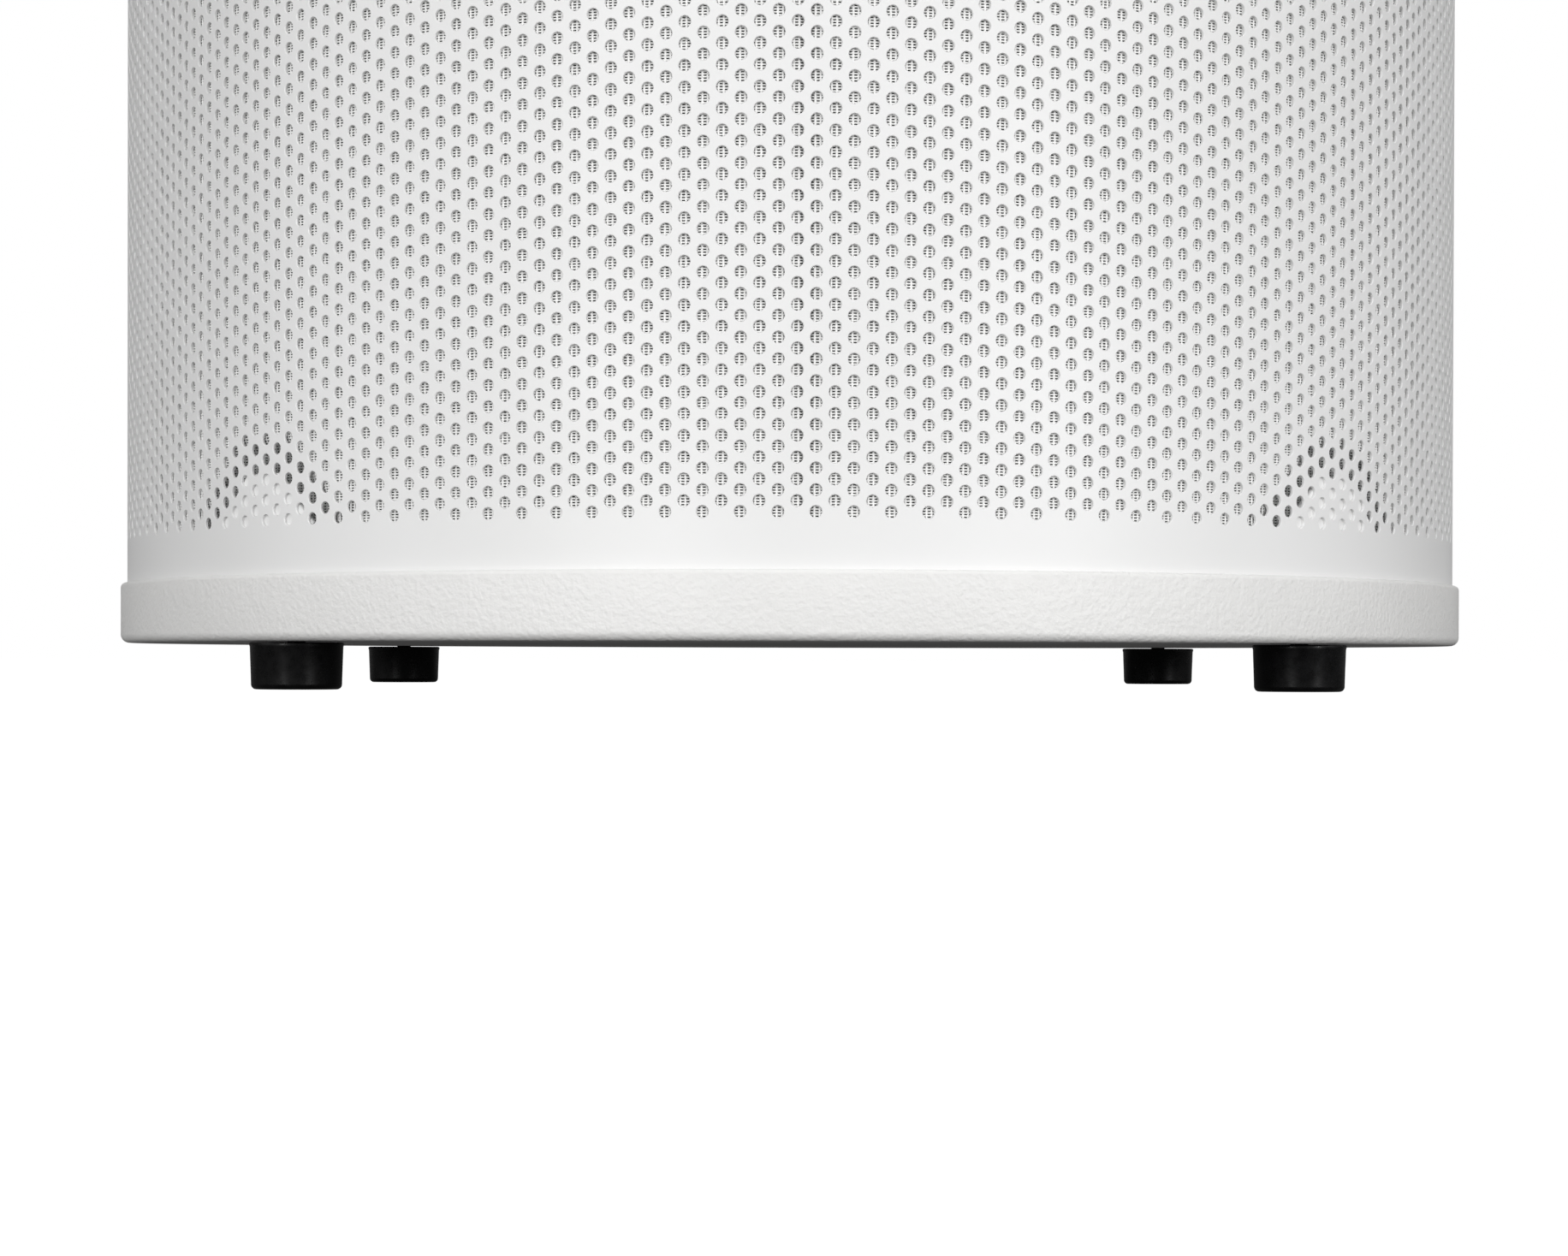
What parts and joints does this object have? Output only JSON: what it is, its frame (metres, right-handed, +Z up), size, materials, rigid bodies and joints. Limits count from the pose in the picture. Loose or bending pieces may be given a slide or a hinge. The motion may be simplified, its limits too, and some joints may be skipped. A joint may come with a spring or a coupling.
{
  "type": "air purifier",
  "caption": "Cylindrical steel room air purifier with a perforated intake shell, a base pan on rubber feet, stacked cylinder filters, a blower and a front outlet.",
  "frame": {"origin": "on the floor under the centre of the base pan", "axes": "+Z up along the cylinder's axis, -Y towards the front, +X to the right of someone facing the front"},
  "size_m": [0.404, 0.381, 0.5841],
  "materials": {
    "shell_paint": "satin",
    "pan_paint": "satin",
    "tab_paint": "satin",
    "rubber": "matte",
    "black_plastic": "matte",
    "grey_plastic": "matte",
    "zinc": "satin",
    "aluminium": "satin",
    "netting": "matte",
    "filter_paper": "matte",
    "urethane": "matte",
    "foam": "matte",
    "carbon": "matte"
  },
  "bodies": {
    "base": {"base_gasket": "foam", "base_pan": "pan_paint", "canister_bottom_cap": "zinc", "canister_handle": "zinc", "canister_inner_wall": "zinc", "canister_outer_wall": "zinc", "canister_top_cap": "zinc", "carbon_bed": "carbon", "foot_front_left": "rubber", "foot_front_right": "rubber", "foot_rear_left": "rubber", "foot_rear_right": "rubber", "foot_screw_front_left": "zinc", "foot_screw_front_right": "zinc", "foot_screw_rear_left": "zinc", "foot_screw_rear_right": "zinc", "hepa_bottom_cap": "urethane", "hepa_pleats": "filter_paper", "hepa_top_cap": "urethane"},
    "housing": {"blower_deck": "zinc", "capacitor": "aluminium", "control_box": "black_plastic", "dial_plate": "grey_plastic", "handle_lug_left_front": "zinc", "handle_lug_left_rear": "zinc", "handle_lug_right_front": "zinc", "handle_lug_right_rear": "zinc", "inlet_ring": "aluminium", "lid_screw_front_left": "zinc", "lid_screw_front_right": "zinc", "lid_screw_rear_left": "zinc", "lid_screw_rear_right": "zinc", "lid_tab_front_left": "tab_paint", "lid_tab_front_right": "tab_paint", "lid_tab_rear_left": "tab_paint", "lid_tab_rear_right": "tab_paint", "motor_bracket": "zinc", "motor_lead": "black_plastic", "motor_stator": "aluminium", "perforated_shell": "shell_paint", "power_inlet": "black_plastic", "prefilter_wrap": "netting", "shell_tab_front_left": "tab_paint", "shell_tab_front_right": "tab_paint", "shell_tab_rear_left": "tab_paint", "shell_tab_rear_right": "tab_paint", "switch_bezel": "black_plastic", "top_gasket": "foam", "top_lid": "pan_paint", "wiring_loom": "black_plastic"},
    "wheel": {"impeller": "black_plastic", "motor_rotor": "aluminium"},
    "knob": {"speed_knob": "black_plastic", "knob_shaft": "zinc"},
    "rocker": {"switch_rocker": "black_plastic"},
    "handle_right": {"handle_bail_right": "zinc"},
    "handle_left": {"handle_bail_left": "zinc"}
  },
  "joints": [
    {"name": "housing_lift", "type": "slide", "parent": "base", "child": "housing", "axis": [0, 0, 1], "range_m": [0, 0.4]},
    {"name": "impeller_spin", "type": "hinge", "parent": "housing", "child": "wheel", "pos_m": [0, 0, 0.46], "axis": [0, 0, 1], "continuous": true},
    {"name": "speed_knob_turn", "type": "hinge", "parent": "housing", "child": "knob", "pos_m": [0, -0.118, 0.57], "axis": [0, 0, -1], "range_deg": [0, 270]},
    {"name": "power_rocker", "type": "hinge", "parent": "housing", "child": "rocker", "pos_m": [0.058, -0.118, 0.5615], "axis": [1, 0, 0], "range_deg": [0, 16]},
    {"name": "handle_right_fold", "type": "hinge", "parent": "housing", "child": "handle_right", "pos_m": [0.194, 0, 0.436], "axis": [0, -1, 0], "range_deg": [0, 95]},
    {"name": "handle_left_fold", "type": "hinge", "parent": "housing", "child": "handle_left", "pos_m": [-0.194, 0, 0.436], "axis": [0, 1, 0], "range_deg": [0, 95]}
  ]
}
